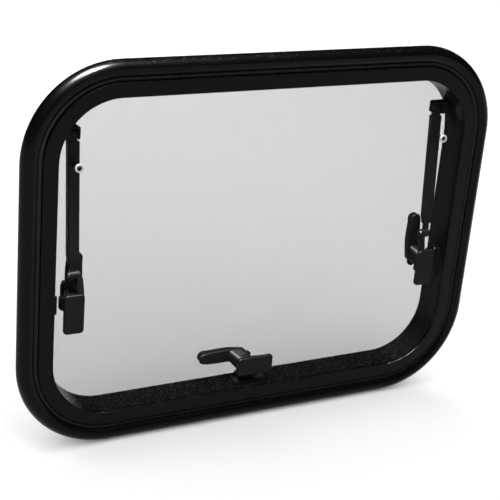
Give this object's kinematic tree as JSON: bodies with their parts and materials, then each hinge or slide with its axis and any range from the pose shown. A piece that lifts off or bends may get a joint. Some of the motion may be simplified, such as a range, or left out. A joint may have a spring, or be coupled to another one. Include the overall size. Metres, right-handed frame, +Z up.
{
  "type": "top-hung camper window",
  "caption": "Rounded top-hung window for a thin-walled vehicle body: black clamped frame, domed double acrylic sash, telescopic stays and finger latches.",
  "frame": {"origin": "centre of the wall opening, in the plane of the wall's room-side face", "axes": "+X to the right seen from the room, +Y outdoors, +Z up"},
  "size_m": [0.62, 0.0585, 0.47],
  "materials": {
    "ring_black": "glossy black powder coat",
    "frame_black": "glossy black powder coat",
    "rubber_black": "matt black",
    "foam_tape": "closed-cell foam",
    "screw_black": "black zinc",
    "steel_zinc": "zinc plated",
    "latch_black": "satin black moulding",
    "stay_black": "black anodised",
    "slider_white": "natural moulding",
    "knob_grey": "satin pressed disc",
    "bond_black": "cured adhesive",
    "acrylic_outer": "clear, faint grey tint",
    "acrylic_inner": "clear, faint grey tint"
  },
  "bodies": {
    "frame": {"clamp_ring": "ring_black", "cover_strip": "rubber_black", "clamp_screws": "screw_black", "outer_frame": "frame_black", "flange_tape": "foam_tape", "sash_seal": "rubber_black", "hinge_rail": "frame_black", "hinge_rivets": "frame_black", "keeper_screws": "screw_black", "bracket_screws": "screw_black", "keeper_left": "latch_black", "keeper_right": "latch_black", "keeper_bottom": "latch_black", "stay_bracket_left": "latch_black", "stay_bracket_right": "latch_black", "bracket_pin_left": "screw_black", "bracket_pin_right": "screw_black"},
    "sash": {"outer_pane": "acrylic_outer", "inner_pane": "acrylic_inner", "pane_bond": "bond_black", "sash_hinge_profile": "frame_black", "latch_studs": "screw_black", "latch_foot_screws": "screw_black", "latch_foot_left": "latch_black", "latch_backing_left": "steel_zinc", "latch_spindle_left": "screw_black", "latch_plate_left": "latch_black", "latch_washer_left": "screw_black", "latch_foot_right": "latch_black", "latch_backing_right": "steel_zinc", "latch_spindle_right": "screw_black", "latch_plate_right": "latch_black", "latch_washer_right": "screw_black", "latch_foot_bottom": "latch_black", "latch_backing_bottom": "steel_zinc", "latch_spindle_bottom": "screw_black", "latch_plate_bottom": "latch_black", "latch_washer_bottom": "screw_black", "ear_pin_left": "screw_black", "ear_pin_right": "screw_black"},
    "lever_left": {"latch_lever_left": "latch_black"},
    "lever_right": {"latch_lever_right": "latch_black"},
    "lever_bottom": {"latch_lever_bottom": "latch_black"},
    "stay_tube_left": {"stay_tube_left": "stay_black", "stay_collar_left": "latch_black"},
    "stay_rod_left": {"stay_rod_left": "stay_black", "stay_slider_left": "slider_white", "stay_rivet_left": "screw_black"},
    "clamp_knob_left": {"knob_stem_left": "latch_black", "knob_disc_left": "knob_grey"},
    "stay_tube_right": {"stay_tube_right": "stay_black", "stay_collar_right": "latch_black"},
    "stay_rod_right": {"stay_rod_right": "stay_black", "stay_slider_right": "slider_white", "stay_rivet_right": "screw_black"},
    "clamp_knob_right": {"knob_stem_right": "latch_black", "knob_disc_right": "knob_grey"}
  },
  "joints": [
    {"name": "sash_open", "type": "hinge", "parent": "frame", "child": "sash", "pos_m": [0, 0.025, 0.22], "axis": [1, 0, 0], "range_deg": [0, 50]},
    {"name": "latch_turn_left", "type": "hinge", "parent": "sash", "child": "lever_left", "pos_m": [-0.2432, 0, -0.053], "axis": [0, 1, 0], "range_deg": [0, 90]},
    {"name": "latch_turn_right", "type": "hinge", "parent": "sash", "child": "lever_right", "pos_m": [0.2432, 0, -0.053], "axis": [0, -1, 0], "range_deg": [0, 90]},
    {"name": "latch_turn_bottom", "type": "hinge", "parent": "sash", "child": "lever_bottom", "pos_m": [-0.008, 0, -0.1682], "axis": [0, 1, 0], "range_deg": [0, 90]},
    {"name": "stay_swing_left", "type": "hinge", "parent": "frame", "child": "stay_tube_left", "pos_m": [-0.243, 0.0172, 0.148], "axis": [1, 0, 0], "range_deg": [0, 66]},
    {"name": "stay_slide_left", "type": "slide", "parent": "stay_tube_left", "child": "stay_rod_left", "axis": [0, -0.0821, -0.9966], "range_m": [0, 0.035]},
    {"name": "knob_turn_left", "type": "hinge", "parent": "stay_tube_left", "child": "clamp_knob_left", "pos_m": [-0.243, 0.01432, 0.11312], "axis": [0, -0.9966, 0.0821], "range_deg": [0, 180]},
    {"name": "stay_swing_right", "type": "hinge", "parent": "frame", "child": "stay_tube_right", "pos_m": [0.243, 0.0172, 0.148], "axis": [1, 0, 0], "range_deg": [0, 66]},
    {"name": "stay_slide_right", "type": "slide", "parent": "stay_tube_right", "child": "stay_rod_right", "axis": [0, -0.0821, -0.9966], "range_m": [0, 0.035]},
    {"name": "knob_turn_right", "type": "hinge", "parent": "stay_tube_right", "child": "clamp_knob_right", "pos_m": [0.243, 0.01432, 0.11312], "axis": [0, -0.9966, 0.0821], "range_deg": [0, 180]}
  ],
  "couplings": [
    {"joint": "stay_swing_left", "follows": "sash_open", "ratio": 1.3172},
    {"joint": "stay_slide_left", "follows": "sash_open", "m_per_rad": 0.040014},
    {"joint": "stay_swing_right", "follows": "sash_open", "ratio": 1.3172},
    {"joint": "stay_slide_right", "follows": "sash_open", "m_per_rad": 0.040014}
  ]
}
